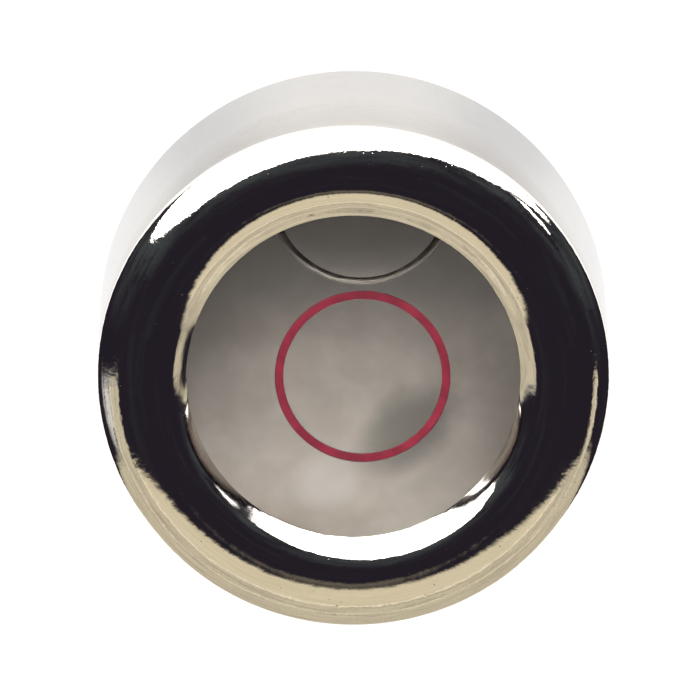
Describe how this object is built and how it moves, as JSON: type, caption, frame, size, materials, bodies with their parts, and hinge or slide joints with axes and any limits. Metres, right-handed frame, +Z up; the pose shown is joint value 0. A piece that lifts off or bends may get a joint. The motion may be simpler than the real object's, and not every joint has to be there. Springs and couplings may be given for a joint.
{
  "type": "bullseye level",
  "caption": "Small round spirit level: a bright plated case with its rim rolled over a flat glass window, a red circle in the glass, and clear liquid with one bubble.",
  "frame": {"origin": "centre of the case's foot circle, on the surface that the level stands on", "axes": "+Z up along the case's axis, through the middle of the window; the bubble lies on the +Y side, and the picture looks down from that side"},
  "size_m": [0.02, 0.02, 0.0115],
  "materials": {
    "plated_case": "bright nickel plate on turned brass, polished, with fine pits and wiping marks",
    "window_glass": "polished flat glass",
    "circle_enamel": "crimson enamel filled into an engraved groove",
    "gasket_rubber": "smooth black rubber",
    "level_liquid": "clear, colourless spirit",
    "satin_plate": "satin nickel plate on brass",
    "washer_fibre": "pressed fibre",
    "screw_brass": "turned brass, bare"
  },
  "bodies": {
    "root": {"case": "plated_case", "glass": "window_glass", "target_circle": "circle_enamel", "glass_gasket": "gasket_rubber", "liquid": "level_liquid", "plate_gasket": "gasket_rubber", "closing_plate": "satin_plate", "filling_washer": "washer_fibre", "filling_screw": "screw_brass"}
  },
  "joints": []
}
